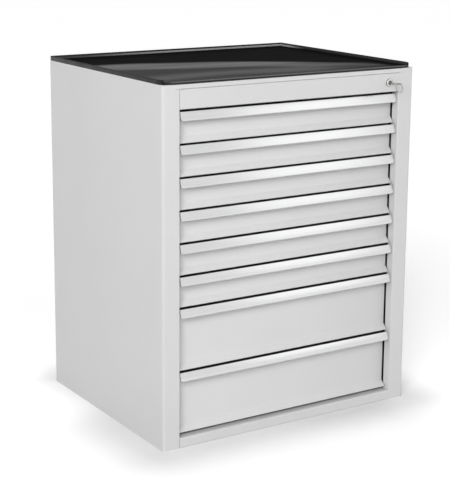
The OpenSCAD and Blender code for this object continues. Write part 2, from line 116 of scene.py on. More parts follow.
world = bpy.data.worlds.new("white_room")
bpy.context.scene.world = world
world.use_nodes = True
tree = world.node_tree
tree.nodes.clear()
output = tree.nodes.new("ShaderNodeOutputWorld")
seen = tree.nodes.new("ShaderNodeBackground")
seen.inputs["Color"].default_value = (1, 1, 1, 1)
seen.inputs["Strength"].default_value = 1.0
light = tree.nodes.new("ShaderNodeBackground")
light.inputs["Color"].default_value = (1, 1, 1, 1)
facing = tree.nodes.new("ShaderNodeTexCoord")
overhead = tree.nodes.new("ShaderNodeMapRange")
overhead.inputs["From Min"].default_value = 0.0
overhead.inputs["From Max"].default_value = 0.8
overhead.inputs["To Min"].default_value = 1.32
overhead.inputs["To Max"].default_value = 0.15
tree.links.new(apart(tree, facing.outputs["Generated"])[2], overhead.inputs["Value"])
tree.links.new(overhead.outputs[0], light.inputs["Strength"])
path = tree.nodes.new("ShaderNodeLightPath")
looked_at = maths(tree, "MAXIMUM", path.outputs["Is Camera Ray"], path.outputs["Is Glossy Ray"])
looked_at = maths(tree, "MAXIMUM", looked_at, path.outputs["Is Transmission Ray"])
mix = tree.nodes.new("ShaderNodeMixShader")
tree.links.new(looked_at, mix.inputs[0])
tree.links.new(light.outputs[0], mix.inputs[1])
tree.links.new(seen.outputs[0], mix.inputs[2])
tree.links.new(mix.outputs[0], output.inputs["Surface"])
bpy.context.scene.view_settings.view_transform = "Standard"
print(f"{world.name} made")


# %% Lamps
def soft_lamp(name, place, target, width, height, watts):
    """A rectangular area lamp that looks at a point."""
    data = bpy.data.lights.new(name, "AREA")
    data.shape = "RECTANGLE"
    data.size = width
    data.size_y = height
    data.energy = watts
    lamp = bpy.data.objects.new(name, data)
    lamp.location = place
    lamp.rotation_euler = (Vector(target) - Vector(place)).to_track_quat("-Z", "Y").to_euler()
    bpy.context.scene.collection.objects.link(lamp)
    return lamp


# the shadow this lamp casts to the right is deepened by a painted shadow in the paper's glow
soft_lamp("front_lamp", (-2.8, -2.86, 2.3), (0, 0, 0.6), 1.4, 1.4, 73)
low_box = soft_lamp("low_box", (-0.5, -3.6, 0.5), (0, -0.28, 0.5), 2.4, 0.9, 8)
low_box.visible_glossy = False
soft_lamp("side_box", (2.08, -2.72, 1.45), (0.1, -0.28, 0.6), 2.2, 1.9, 7.6)
print("three lamps")

# %% [markdown]
# ## The floor
#
# A white sheet of paper. It takes the cabinet's soft shadow as real paper does. To the camera it also
# glows a little, which lifts the lit paper to pure white and leaves only the shadow grey. The glow
# follows the cabinet's foot and paints shadows where it is weaker: right beside the foot, in front of it
# and behind its right. At the back of its left side it is stronger and paints light over the real shade.


# %% Floor helpers
def new_material(name):
    """A material with an empty node tree, and its tree."""
    material = bpy.data.materials.new(name)
    material.use_nodes = True
    material.node_tree.nodes.clear()
    return material, material.node_tree


def ramp_between(tree, value, start, end):
    """0 before start and 1 after end, smoothly; start may be the larger one."""
    node = tree.nodes.new("ShaderNodeMapRange")
    node.interpolation_type = "SMOOTHSTEP"
    falling = start > end
    node.inputs["From Min"].default_value = end if falling else start
    node.inputs["From Max"].default_value = start if falling else end
    node.inputs["To Min"].default_value = 1.0 if falling else 0.0
    node.inputs["To Max"].default_value = 0.0 if falling else 1.0
    tree.links.new(value, node.inputs["Value"])
    return node.outputs[0]


def product(tree, first, *others):
    """Several values multiplied."""
    for other in others:
        first = maths(tree, "MULTIPLY", first, other)
    return first


# %% Floor
floor_data = bpy.data.meshes.new("floor")
bm = bmesh.new()
bmesh.ops.create_grid(bm, x_segments=1, y_segments=1, size=30)
bm.to_mesh(floor_data)
bm.free()
floor = bpy.data.objects.new("floor", floor_data)
bpy.context.scene.collection.objects.link(floor)
material, tree = new_material("white_paper")
floor.data.materials.append(material)
print("floor laid")

# %% Glow of the paper, with painted shadows
HALF_WIDTH, HALF_DEPTH = 0.35, 0.28
# the way the lamp's light goes over the paper, and how far the cabinet's corners reach to its sides
LIGHT_ACROSS, LIGHT_DEEP = 0.673, 0.74
HALF_SHADOW = 0.447
across, deep, _ = apart(tree, tree.nodes.new("ShaderNodeTexCoord").outputs["Object"])
# how far a point of the paper is from the cabinet's foot
beside = maths(tree, "SUBTRACT", maths(tree, "ABSOLUTE", across), HALF_WIDTH)
beside = maths(tree, "MAXIMUM", beside, 0.0)
before = maths(tree, "SUBTRACT", maths(tree, "ABSOLUTE", deep), HALF_DEPTH)
before = maths(tree, "MAXIMUM", before, 0.0)
away = maths(tree, "ADD", product(tree, beside, beside), product(tree, before, before))
away = maths(tree, "SQRT", away)
# painted contact shadow: the glow is weaker right beside the foot
near = maths(tree, "MULTIPLY_ADD", ramp_between(tree, away, 0.0, 0.16), 0.30, 0.21)
# painted shadow: less glow in front of the foot
painted_shadow_in_front = product(tree, ramp_between(tree, deep, 0.12, -0.12), ramp_between(tree, away, 0.34, 0.10),
                   ramp_between(tree, across, 0.44, 0.22))
near = maths(tree, "MULTIPLY_ADD", painted_shadow_in_front, -0.15, near)
# painted light: more glow at the back of the left side, over the real shade there
painted_light_left_back = product(tree, ramp_between(tree, across, -0.30, -0.40), ramp_between(tree, deep, -0.05, 0.15))
near = maths(tree, "MULTIPLY_ADD", painted_light_left_back, 0.16, near)
far = product(tree, ramp_between(tree, away, 0.5, 1.8), 0.10)
# painted shadow: the glow is weaker where the lamp can't reach, to the right and behind
sideways = product(tree, deep, LIGHT_ACROSS)
past_right = maths(tree, "SUBTRACT", maths(tree, "MULTIPLY_ADD", across, LIGHT_DEEP, -HALF_SHADOW), sideways)
past_left = maths(tree, "SUBTRACT", maths(tree, "MULTIPLY_ADD", across, LIGHT_DEEP, HALF_SHADOW), sideways)
along = maths(tree, "ADD", product(tree, across, LIGHT_ACROSS), product(tree, deep, LIGHT_DEEP))
painted_shadow_behind_right = product(tree, ramp_between(tree, past_right, 0.08, -0.22), ramp_between(tree, past_left, -0.10, 0.25),
                 ramp_between(tree, along, 1.70, 0.5), ramp_between(tree, along, -0.3, 0.1))
strength = maths(tree, "ADD", maths(tree, "MULTIPLY_ADD", painted_shadow_behind_right, -0.24, near), far)
glow = tree.nodes.new("ShaderNodeEmission")
tree.links.new(maths(tree, "MAXIMUM", strength, 0.0), glow.inputs["Strength"])
print("glow shaped round the foot")

# %% Paper
output = tree.nodes.new("ShaderNodeOutputMaterial")
matt = tree.nodes.new("ShaderNodeBsdfDiffuse")
matt.inputs["Color"].default_value = (0.60, 0.60, 0.60, 1)
seen_matt = tree.nodes.new("ShaderNodeBsdfDiffuse")
seen_matt.inputs["Color"].default_value = (0.95, 0.95, 0.95, 1)
lifted = tree.nodes.new("ShaderNodeAddShader")
tree.links.new(seen_matt.outputs[0], lifted.inputs[0])
tree.links.new(glow.outputs[0], lifted.inputs[1])
path = tree.nodes.new("ShaderNodeLightPath")
looked_at = maths(tree, "MAXIMUM", path.outputs["Is Camera Ray"], path.outputs["Is Glossy Ray"])
paper = tree.nodes.new("ShaderNodeMixShader")
tree.links.new(looked_at, paper.inputs[0])
tree.links.new(matt.outputs[0], paper.inputs[1])
tree.links.new(lifted.outputs[0], paper.inputs[2])
tree.links.new(paper.outputs[0], output.inputs["Surface"])
print("paper made")

# %% [markdown]
# ## Effects that several finishes share
#
# Each effect is a node group with named inputs. A group gives only colours, masks, values and
# normals; the shader itself stays in the material.


# %% Group helper
def group(name, inputs, outputs):
    """An empty node group: an input socket is (name, kind, value) and an output socket (name, kind)."""
    made = bpy.data.node_groups.new(name, "ShaderNodeTree")
    for label, kind, value in inputs:
        socket = made.interface.new_socket(label, in_out="INPUT", socket_type="NodeSocket" + kind)
        if value is not None:
            socket.default_value = value
    for label, kind in outputs:
        made.interface.new_socket(label, in_out="OUTPUT", socket_type="NodeSocket" + kind)
    return made, made.nodes.new("NodeGroupInput"), made.nodes.new("NodeGroupOutput")


def stretched(tree, scale):
    """Object coordinates, in metres, multiplied along each axis."""
    where = tree.nodes.new("ShaderNodeTexCoord")
    mapping = tree.nodes.new("ShaderNodeMapping")
    mapping.inputs["Scale"].default_value = scale
    tree.links.new(where.outputs["Object"], mapping.inputs["Vector"])
    return mapping.outputs[0]


def noise(tree, vector, scale, detail=3.0, roughness=0.55):
    """Soft noise, of which detail adds finer steps and roughness makes them stronger."""
    node = tree.nodes.new("ShaderNodeTexNoise")
    node.inputs["Scale"].default_value = scale
    node.inputs["Detail"].default_value = detail
    node.inputs["Roughness"].default_value = roughness
    tree.links.new(vector, node.inputs["Vector"])
    return node.outputs["Fac"]


def spread(tree, value, low, high):
    """A noise value, mostly between 0.3 and 0.7, spread over low to high."""
    node = tree.nodes.new("ShaderNodeMapRange")
    node.inputs["From Min"].default_value = 0.3
    node.inputs["From Max"].default_value = 0.7
    node.inputs["To Min"].default_value = low
    node.inputs["To Max"].default_value = high
    tree.links.new(value, node.inputs["Value"])
    return node.outputs[0]


# %% [markdown]
# ### Mottle
#
# No real surface has one exact colour. Mottle makes a colour a little lighter and darker in broad
# soft patches, and gives the same patches as a mask for the roughness.

# %% Mottle group
mottle, inside, outside = group(
    "mottle",
    [("Vector", "Vector", None), ("Color", "Color", (0.8, 0.8, 0.8, 1)),
     ("Size", "Float", 6.0), ("Amount", "Float", 0.03)],
    [("Color", "Color"), ("Mask", "Float")],
)
cloud = mottle.nodes.new("ShaderNodeTexNoise")
cloud.inputs["Detail"].default_value = 4
mottle.links.new(inside.outputs["Vector"], cloud.inputs["Vector"])
mottle.links.new(inside.outputs["Size"], cloud.inputs["Scale"])
centred = maths(mottle, "SUBTRACT", cloud.outputs["Fac"], 0.5)
strength = maths(mottle, "MULTIPLY", centred, inside.outputs["Amount"])
factor = maths(mottle, "MULTIPLY_ADD", strength, 2.0, 1.0)
scaled = mottle.nodes.new("ShaderNodeVectorMath")
scaled.operation = "SCALE"
mottle.links.new(inside.outputs["Color"], scaled.inputs[0])
mottle.links.new(factor, scaled.inputs["Scale"])
mottle.links.new(scaled.outputs[0], outside.inputs["Color"])
mottle.links.new(cloud.outputs["Fac"], outside.inputs["Mask"])
print(f"group {mottle.name} made")

# %% [markdown]
# ### Grain
#
# Powder coat has a fine orange peel, and moulded plastic a leather grain. Both are a height made of
# two noises, one for the bumps and one much finer.

# %% Grain group
grain, inside, outside = group(
    "grain",
    [("Vector", "Vector", None), ("Size", "Float", 400.0), ("Fine", "Float", 0.3)],
    [("Height", "Float")],
)
coarse = grain.nodes.new("ShaderNodeTexNoise")
coarse.inputs["Detail"].default_value = 2
grain.links.new(inside.outputs["Vector"], coarse.inputs["Vector"])
grain.links.new(inside.outputs["Size"], coarse.inputs["Scale"])
fine = grain.nodes.new("ShaderNodeTexNoise")
fine.inputs["Detail"].default_value = 1
grain.links.new(inside.outputs["Vector"], fine.inputs["Vector"])
grain.links.new(maths(grain, "MULTIPLY", inside.outputs["Size"], 4.0), fine.inputs["Scale"])
height = maths(grain, "MULTIPLY_ADD", fine.outputs["Fac"], inside.outputs["Fine"], coarse.outputs["Fac"])
grain.links.new(height, outside.inputs["Height"])
print(f"group {grain.name} made")

# %% [markdown]
# ### Brush lines
#
# Drawn and rolled metal has fine lines along its length. Noise squeezed along one axis draws them.

# %% Brush group
brush, inside, outside = group(
    "brush_lines",
    [("Vector", "Vector", None), ("Amount", "Float", 0.1)],
    [("Lines", "Float"), ("Shade", "Float")],
)
lines = brush.nodes.new("ShaderNodeTexNoise")
lines.inputs["Scale"].default_value = 1.0
lines.inputs["Detail"].default_value = 3
brush.links.new(inside.outputs["Vector"], lines.inputs["Vector"])
brush.links.new(lines.outputs["Fac"], outside.inputs["Lines"])
lighter = maths(brush, "SUBTRACT", lines.outputs["Fac"], 0.5)
brush.links.new(maths(brush, "MULTIPLY_ADD", lighter, inside.outputs["Amount"], 1.0), outside.inputs["Shade"])
print(f"group {brush.name} made")


# %% Finish helpers
def place_group(tree, which, vector, **values):
    """The group in a material, with this material's own values."""
    node = tree.nodes.new("ShaderNodeGroup")
    node.node_tree = which
    tree.links.new(vector, node.inputs["Vector"])
    for label, value in values.items():
        node.inputs[label].default_value = value
    return node


def shaded(tree, **values):
    """The shader and the output, with the values that are the same all over."""
    output = tree.nodes.new("ShaderNodeOutputMaterial")
    shader = tree.nodes.new("ShaderNodeBsdfPrincipled")
    for label, value in values.items():
        shader.inputs[label.replace("_", " ")].default_value = value
    tree.links.new(shader.outputs[0], output.inputs["Surface"])
    return shader


def bumped(tree, shader, height, distance, under=None):
    """A bump, laid over an earlier one if given."""
    bump = tree.nodes.new("ShaderNodeBump")
    bump.inputs["Strength"].default_value = 1.0
    bump.inputs["Distance"].default_value = distance
    tree.links.new(height, bump.inputs["Height"])
    if under:
        tree.links.new(under.outputs[0], bump.inputs["Normal"])
    tree.links.new(bump.outputs[0], shader.inputs["Normal"])
    return bump


def tinted(tree, colour, shade):
    """A colour made lighter or darker by a value."""
    mixed = tree.nodes.new("ShaderNodeVectorMath")
    mixed.operation = "SCALE"
    tree.links.new(colour, mixed.inputs[0])
    tree.links.new(shade, mixed.inputs["Scale"])
    return mixed.outputs[0]


# %% [markdown]
# ## Powder coat
#
# The steel is sprayed with dry powder and baked. The skin is satin, a little softer than paint, with
# a fine orange peel. Its colour hardly changes, so the patches stay under two in a hundred.


# %% Powder coat
def powder_coat(name, color):
    material, tree = new_material(name)
    where = stretched(tree, (1, 1, 1))
    shader = shaded(tree, IOR=1.5)
    patches = place_group(tree, mottle, where, Color=(*color, 1), Size=5.0, Amount=0.035)
    peeled = place_group(tree, grain, where, Size=650.0, Fine=0.35)
    tree.links.new(patches.outputs["Color"], shader.inputs["Base Color"])
    tree.links.new(spread(tree, noise(tree, where, 140.0), 0.36, 0.46), shader.inputs["Roughness"])
    bumped(tree, shader, peeled.outputs["Height"], 0.03 * MM)
    return material


coat = powder_coat("light_grey_powder_coat", (0.71, 0.71, 0.709))
print(f"{coat.name} made")

# %% [markdown]
# ## Satin aluminium
#
# The handles are drawn aluminium with a clear satin skin. The lines run along the handle.


# %% Aluminium
def aluminium(name):
    material, tree = new_material(name)
    shader = shaded(tree, Metallic=1.0)
    along = place_group(tree, brush, stretched(tree, (6, 2600, 2600)), Amount=0.10)
    tone = place_group(tree, mottle, stretched(tree, (1, 1, 1)), Color=(0.64, 0.642, 0.645, 1), Size=9.0,
                       Amount=0.03)
    tree.links.new(tinted(tree, tone.outputs["Color"], along.outputs["Shade"]), shader.inputs["Base Color"])
    tree.links.new(spread(tree, along.outputs["Lines"], 0.24, 0.36), shader.inputs["Roughness"])
    bumped(tree, shader, along.outputs["Lines"], 0.01 * MM)
    return material


satin = aluminium("satin_aluminium")
print(f"{satin.name} made")

# %% [markdown]
# ## Galvanised steel
#
# Rails and posts are bare zinc-coated steel: a cool grey metal with a faint pattern of crystals and
# fine rolling lines.


# %% Zinc
def zinc_steel(name, squeezed):
    """Squeezed says how dense the rolling lines are along each axis."""
    material, tree = new_material(name)
    shader = shaded(tree, Metallic=1.0)
    where = stretched(tree, (1, 1, 1))
    crystals = tree.nodes.new("ShaderNodeTexVoronoi")
    crystals.inputs["Scale"].default_value = 160
    tree.links.new(where, crystals.inputs["Vector"])
    split = tree.nodes.new("ShaderNodeSeparateColor")
    tree.links.new(crystals.outputs["Color"], split.inputs[0])
    cell = maths(tree, "MULTIPLY_ADD", split.outputs[0], 0.10, 0.95)
    rolled = place_group(tree, brush, stretched(tree, squeezed), Amount=0.12)
    tone = place_group(tree, mottle, where, Color=(0.62, 0.635, 0.66, 1), Size=14.0, Amount=0.08)
    both = product(tree, cell, rolled.outputs["Shade"])
    tree.links.new(tinted(tree, tone.outputs["Color"], both), shader.inputs["Base Color"])
    tree.links.new(spread(tree, tone.outputs["Mask"], 0.30, 0.42), shader.inputs["Roughness"])
    bumped(tree, shader, rolled.outputs["Lines"], 0.01 * MM)
    return material


zinc = zinc_steel("galvanised_steel", (900, 8, 900))
print(f"{zinc.name} made")

# %% [markdown]
# ## Nickel plate
#
# The lock and the key are cast or stamped, then plated: a warm metal with hair-fine scratches from
# use. The flange is the brightest, the key is duller, and the plug and the ring are dark. The same
# dark nickel is painted on the flange's outer slope and in its bore as painted shade.


# %% Nickel
def nickel(name, color, rough):
    """Rough is the range of the roughness."""
    material, tree = new_material(name)
    shader = shaded(tree, Metallic=1.0)
    where = stretched(tree, (1, 1, 1))
    tone = place_group(tree, mottle, where, Color=(*color, 1), Size=90.0, Amount=0.06)
    hair = place_group(tree, brush, stretched(tree, (300, 4000, 2200)), Amount=0.08)
    tree.links.new(tone.outputs["Color"], shader.inputs["Base Color"])
    tree.links.new(spread(tree, hair.outputs["Lines"], *rough), shader.inputs["Roughness"])
    bumped(tree, shader, hair.outputs["Lines"], 0.006 * MM)
    return material


plated = nickel("nickel_plate", (0.62, 0.61, 0.595), (0.10, 0.20))
# dark nickel: the plug's and the ring's own colour, and painted shade on the lock flange's slope and bore
dark_metal_and_shade = nickel("dark_nickel_and_painted_shade", (0.16, 0.157, 0.153), (0.16, 0.28))
brushed_key = nickel("key_metal", (0.36, 0.355, 0.35), (0.20, 0.34))
print(f"{plated.name}, {dark_metal_and_shade.name} and {brushed_key.name} made")

# %% [markdown]
# ## Black plastic
#
# The tray is drawn from a warm sheet of black plastic. The skin is nearly smooth where the mould
# pulled it tight and duller elsewhere, in long soft bands, and the sheet is never quite flat. So the
# light of the room lies on it in streaks. The bands are a mask for a thin clear gloss over a dull
# black, and long low waves bend the reflections.
#
# The rim is glossy, apart from the raw relief cut in each front corner. In the hollow at the rim's foot,
# at the back and beside it, and along the front rim's edge, the black is painted pale grey: a painted
# highlight for the light that these curved places catch. All of these places are given in metres from
# the cabinet's own origin.


# %% Gloss of the tray's floor
def streaks(tree, across, deep):
    """The gloss: a broad band with a bowed back edge, a narrow band in front, and a weak one over both."""
    # their edges wander by a few centimetres
    wander = spread(tree, noise(tree, stretched(tree, (2.4, 5.0, 1.0)), 1.0, 1.5, 0.4), -0.022, 0.022)
    deep = maths(tree, "ADD", deep, wander)
    bow = maths(tree, "MAXIMUM", maths(tree, "ADD", across, 0.27), 0.0)
    bow = maths(tree, "POWER", bow, 2.0)
    past_back = maths(tree, "ADD", deep, maths(tree, "MULTIPLY_ADD", bow, 0.81, -0.075))
    past_front = maths(tree, "ADD", deep, maths(tree, "MULTIPLY_ADD", across, 0.33, 0.105))
    broad = product(tree, ramp_between(tree, past_back, 0.022, -0.020),
                    ramp_between(tree, past_front, -0.022, 0.022), 0.19)
    narrow = maths(tree, "ABSOLUTE", maths(tree, "ADD", deep, 0.182))
    narrow = product(tree, ramp_between(tree, narrow, 0.055, 0.005), 0.10)
    weak = product(tree, ramp_between(tree, past_back, 0.030, -0.015), 0.10)
    gloss = maths(tree, "ADD", maths(tree, "ADD", weak, broad), narrow)
    weaker_right = maths(tree, "MULTIPLY_ADD", ramp_between(tree, across, 0.08, 0.26), -0.55, 1.0)
    return maths(tree, "MULTIPLY_ADD", gloss, weaker_right, 0.012)


# %% Gloss of the tray's rim
CUT_ACROSS, CUT_DEEP = 0.3405, -0.2705


def rim_gloss(tree, deep, tall):
    """Above the floor the skin is glossy all round, and most along the front."""
    front = maths(tree, "MULTIPLY_ADD", ramp_between(tree, deep, -0.255, -0.268), 0.22, 0.26)
    return product(tree, ramp_between(tree, tall, 0.8425, 0.8445), front)


def upright_gloss(tree):
    """Seen square on, an upright face mirrors far less than the floor does, so it can be all gloss."""
    normal = apart(tree, tree.nodes.new("ShaderNodeTexCoord").outputs["Normal"])
    return product(tree, ramp_between(tree, maths(tree, "ABSOLUTE", normal[2]), 0.6, 0.1), 0.5)


def away_from_cut(tree, across, deep):
    """0 at the relief cuts in the two front corners, and 1 a few millimetres away."""
    sideways = maths(tree, "SUBTRACT", maths(tree, "ABSOLUTE", across), CUT_ACROSS)
    behind = maths(tree, "ADD", deep, -CUT_DEEP)
    distance = maths(tree, "MULTIPLY_ADD", behind, behind, product(tree, sideways, sideways))
    return ramp_between(tree, maths(tree, "SQRT", distance), 0.0025, 0.0040)


# %% Painted highlights of the tray
def painted_highlights(tree, across, deep, tall):
    """Painted highlights: pale grey in the hollow at the rim's foot, at the back and the right, and on the front
    rim's edge.
    """
    hollow = product(tree, ramp_between(tree, tall, 0.8415, 0.8421), ramp_between(tree, tall, 0.8464, 0.8448))
    at_back = product(tree, ramp_between(tree, deep, 0.2700, 0.2725), ramp_between(tree, deep, 0.2786, 0.2774),
                      maths(tree, "MULTIPLY_ADD", ramp_between(tree, across, -0.30, 0.02), 0.75, 0.15))
    at_right = product(tree, ramp_between(tree, across, 0.3400, 0.3425),
                       ramp_between(tree, across, 0.3486, 0.3474), ramp_between(tree, deep, 0.16, 0.26))
    hollow = product(tree, hollow, maths(tree, "MAXIMUM", at_back, at_right))
    # painted highlight along the front rim's edge
    painted_front_edge_highlight = product(tree, ramp_between(tree, deep, -0.2725, -0.2745), ramp_between(tree, tall, 0.8420, 0.8436),
                      ramp_between(tree, maths(tree, "ABSOLUTE", across), 0.335, 0.318))
    return maths(tree, "MAXIMUM", hollow, product(tree, painted_front_edge_highlight, 0.30))


# %% Black plastic
def black_plastic(name):
    material, tree = new_material(name)
    where = stretched(tree, (1, 1, 1))
    across, deep, tall = apart(tree, where)
    shader = shaded(tree, IOR=1.45, Specular_IOR_Level=0.0, Coat_Roughness=0.16, Coat_IOR=1.5)
    tone = place_group(tree, mottle, where, Color=(0.012, 0.012, 0.0128, 1), Size=12.0, Amount=0.25)
    both = tree.nodes.new("ShaderNodeMix")
    both.data_type = "RGBA"
    # the pale grey mixed in here is a painted highlight on the rim's foot and on the front rim's edge
    tree.links.new(painted_highlights(tree, across, deep, tall), both.inputs["Factor"])
    tree.links.new(tone.outputs["Color"], both.inputs["A"])
    both.inputs["B"].default_value = (0.36, 0.36, 0.365, 1)
    tree.links.new(both.outputs["Result"], shader.inputs["Base Color"])
    gloss = maths(tree, "MAXIMUM", streaks(tree, across, deep), rim_gloss(tree, deep, tall))
    gloss = maths(tree, "MAXIMUM", gloss, upright_gloss(tree))
    fine_bands = spread(tree, noise(tree, stretched(tree, (1.5, 26.0, 6.0)), 1.0, 2.0, 0.5), 0.85, 1.15)
    gloss = product(tree, gloss, away_from_cut(tree, across, deep), fine_bands)
    tree.links.new(gloss, shader.inputs["Coat Weight"])
    tree.links.new(spread(tree, noise(tree, where, 60.0), 0.42, 0.54), shader.inputs["Roughness"])
    waves = bumped(tree, shader, noise(tree, stretched(tree, (1.2, 6.0, 1.0)), 1.0, 1.0), 1.5 * MM)
    leather = place_group(tree, grain, where, Size=1300.0, Fine=0.4)
    bumped(tree, shader, leather.outputs["Height"], 0.02 * MM, waves)
    return material


tray_black = black_plastic("black_drawn_plastic")
print(f"{tray_black.name} made")

# %% [markdown]
# ## Nylon and black paint
#
# The rollers are turned from white nylon. The locking bar, its tabs and its guides are black: a black
# coat, and also painted shade, so that the gaps they are seen through read dark. Both skins are smooth
# and a little dull, so one function makes both and only the colour differs.


# %% Nylon
def nylon(name, color):
    material, tree = new_material(name)
    where = stretched(tree, (1, 1, 1))
    shader = shaded(tree, IOR=1.53)
    tone = place_group(tree, mottle, where, Color=(*color, 1), Size=60.0, Amount=0.06)
    skin = place_group(tree, grain, where, Size=1500.0, Fine=0.3)
    tree.links.new(tone.outputs["Color"], shader.inputs["Base Color"])
    tree.links.new(spread(tree, tone.outputs["Mask"], 0.38, 0.52), shader.inputs["Roughness"])
    bumped(tree, shader, skin.outputs["Height"], 0.02 * MM)
    return material


white_nylon = nylon("white_nylon", (0.72, 0.71, 0.68))
# black: a black coat on the locking bar, and painted shade for the gaps it is seen through
black_coat_and_gap_shade = nylon("black_dip_paint_and_painted_shade", (0.022, 0.022, 0.024))
print(f"{white_nylon.name} and {black_coat_and_gap_shade.name} made")

# %% [markdown]
# ## Making a piece
#
# Every new piece is a mesh in its real place, with its object at the origin. One helper smooths the
# small faces of bends and bevels, keeps the big faces flat, so that a bend's shade doesn't run out
# over the sheet beside it, and fixes the piece to the body it moves with.


# %% Piece helpers
FLAT_OVER = 0.0025  # square metres
SHARP_OVER = math.radians(35)


def finished(name, bm, finishes, body, node, sharp=32):
    """The mesh becomes a piece with its finishes, rides on a body and stands for a node of the model."""
    bmesh.ops.recalc_face_normals(bm, faces=bm.faces)
    loose = [e for e in bm.edges if not e.is_manifold]
    data = bpy.data.meshes.new(name)
    bm.to_mesh(data)
    bm.free()
    for face in data.polygons:
        face.use_smooth = face.area < FLAT_OVER
    data.set_sharp_from_angle(angle=math.radians(sharp))
    for finish in finishes:
        data.materials.append(finish)
    piece = bpy.data.objects.new(name, data)
    bpy.context.scene.collection.objects.link(piece)
    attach(piece, body)
    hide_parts(node)
    print(f"{name}: {len(data.polygons)} faces, {len(loose)} open edges")


def prism(bm, outline, x0, x1):
    """A closed outline in Y and Z, extruded along X."""
    ring = [bm.verts.new((x0, y, z)) for y, z in outline]
    face = bm.faces.new(ring)
    out = bmesh.ops.extrude_face_region(bm, geom=[face])
    moved = [v for v in out["geom"] if isinstance(v, bmesh.types.BMVert)]
    bmesh.ops.translate(bm, verts=moved, vec=(x1 - x0, 0, 0))
    bmesh.ops.recalc_face_normals(bm, faces=bm.faces)


def softened(bm, offset, segments=2):
    """Rounds every sharp edge."""
    edges = [e for e in bm.edges if e.is_manifold and e.calc_face_angle() > SHARP_OVER]
    bmesh.ops.bevel(bm, geom=edges, offset=offset, segments=segments, profile=0.5, affect="EDGES",
                    material=-1, clamp_overlap=True)


def turned(profile, axis, centre, steps=40):
    """A round solid: a closed line of (place along the axis, radius) in mm, spun once round X or Y."""
    bm = bmesh.new()
    ring = [bm.verts.new((along * MM, 0, radius * MM)) for along, radius in profile]
    edges = [bm.edges.new((ring[k - 1], ring[k])) for k in range(len(ring))]
    bmesh.ops.spin(bm, geom=ring + edges, cent=(0, 0, 0), axis=(1, 0, 0), angle=2 * math.pi, steps=steps,
                   use_merge=True, use_duplicate=False)
    bmesh.ops.remove_doubles(bm, verts=bm.verts, dist=1e-6)
    if axis == "Y":
        bmesh.ops.rotate(bm, cent=(0, 0, 0), matrix=Matrix.Rotation(math.pi / 2, 3, "Z"), verts=bm.verts)
    bmesh.ops.translate(bm, verts=bm.verts, vec=centre)
    bmesh.ops.recalc_face_normals(bm, faces=bm.faces)
    return bm


def add_to(bm, other, slot=0):
    """Puts another mesh into this one, with its finish's number."""
    for face in other.faces:
        face.material_index = slot
    data = bpy.data.meshes.new("part")
    other.to_mesh(data)
    other.free()
    bm.from_mesh(data)
    bpy.data.meshes.remove(data)


def cut_away(bm, point, normal):
    """Cuts off what lies beyond a plane, and closes the cut."""
    geom = bm.verts[:] + bm.edges[:] + bm.faces[:]
    out = bmesh.ops.bisect_plane(bm, geom=geom, plane_co=point, plane_no=normal, clear_outer=True)
    rim = [e for e in out["geom_cut"] if isinstance(e, bmesh.types.BMEdge)]
    if rim:
        bmesh.ops.holes_fill(bm, edges=rim, sides=0)


# %% [markdown]
# ## The lip handles
#
# Each handle is one aluminium profile, cut to length, pushed over the top edge of the drawer front.
# Its lip hangs in front, leans outwards to the bottom and ends in a thicker bead for the fingers.
# The profile is drawn once in Y and Z and extruded along X. The lip's lower corners are rounded with
# a row of flat cuts, as a file would do it, and then every edge is broken by a fine bevel.


# %% Handle section
def handle_outline(y0, z0, y1, z1):
    """The section between the corners of the handle's box: front, bottom, back, top."""
    lip_back = y0 + 6.8 * MM
    return [
        (y0 + 4.8 * MM, z1),
        (y0 + 0.5 * MM, z0 + 3.2 * MM),
        (y0 + 0.1 * MM, z0 + 2.2 * MM),
        (y0, z0 + 1.2 * MM),
        (y0 + 0.5 * MM, z0 + 0.25 * MM),
        (y0 + 1.4 * MM, z0),
        (y0 + 2.3 * MM, z0 + 0.3 * MM),
        (y0 + 2.75 * MM, z0 + 1.2 * MM),
        (y0 + 2.5 * MM, z0 + 2.6 * MM),
        (lip_back - 1.6 * MM, z1 - 6.0 * MM),
        (y1 - 5.0 * MM, z1 - 6.0 * MM),
        (y1 - 5.0 * MM, z1 - 8.4 * MM),
        (y1 - 4.6 * MM, z1 - 8.8 * MM),
        (y1 - 3.6 * MM, z1 - 6.2 * MM),
        (y1 - 1.4 * MM, z1 - 6.2 * MM),
        (y1 - 1.4 * MM, z1 - 8.4 * MM),
        (y1, z1 - 8.4 * MM),
        (y1, z1 - 4.0 * MM),
        (lip_back + 0.3 * MM, z1 - 4.0 * MM),
        (lip_back, z1 - 3.4 * MM),
        (lip_back, z1),
    ]


# %% Handles
CORNER = 7.5 * MM
CUTS = 8  # a quarter round in as many steps
for i in DRAWERS:
    low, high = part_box(f"drawer_handle_{i}")
    bm = bmesh.new()
    prism(bm, handle_outline(low[1], low[2], high[1], high[2]), low[0], high[0])
    for side, end in ((-1, low[0]), (1, high[0])):
        centre = Vector((end - side * CORNER, 0, low[2] + CORNER))
        for k in range(1, CUTS):
            turn = math.radians(90 * k / CUTS)
            out = Vector((side * math.cos(turn), 0, -math.sin(turn)))
            cut_away(bm, centre + CORNER * out, out)
    softened(bm, 0.22 * MM)
    finished(f"lip_handle_{i}", bm, [satin], f"drawer_{i}", f"drawer_handle_{i}")

# %% [markdown]
# ## The drawer fronts
#
# A front is one folded sheet: a flat panel, a crisp bend, a toe that slants forwards and a short hem
# turned back under it. The bends and the hem catch a thin line of light, which a sharp edge wouldn't,
# so the sheet's centre line is drawn, given its thickness, and its edges are rounded.


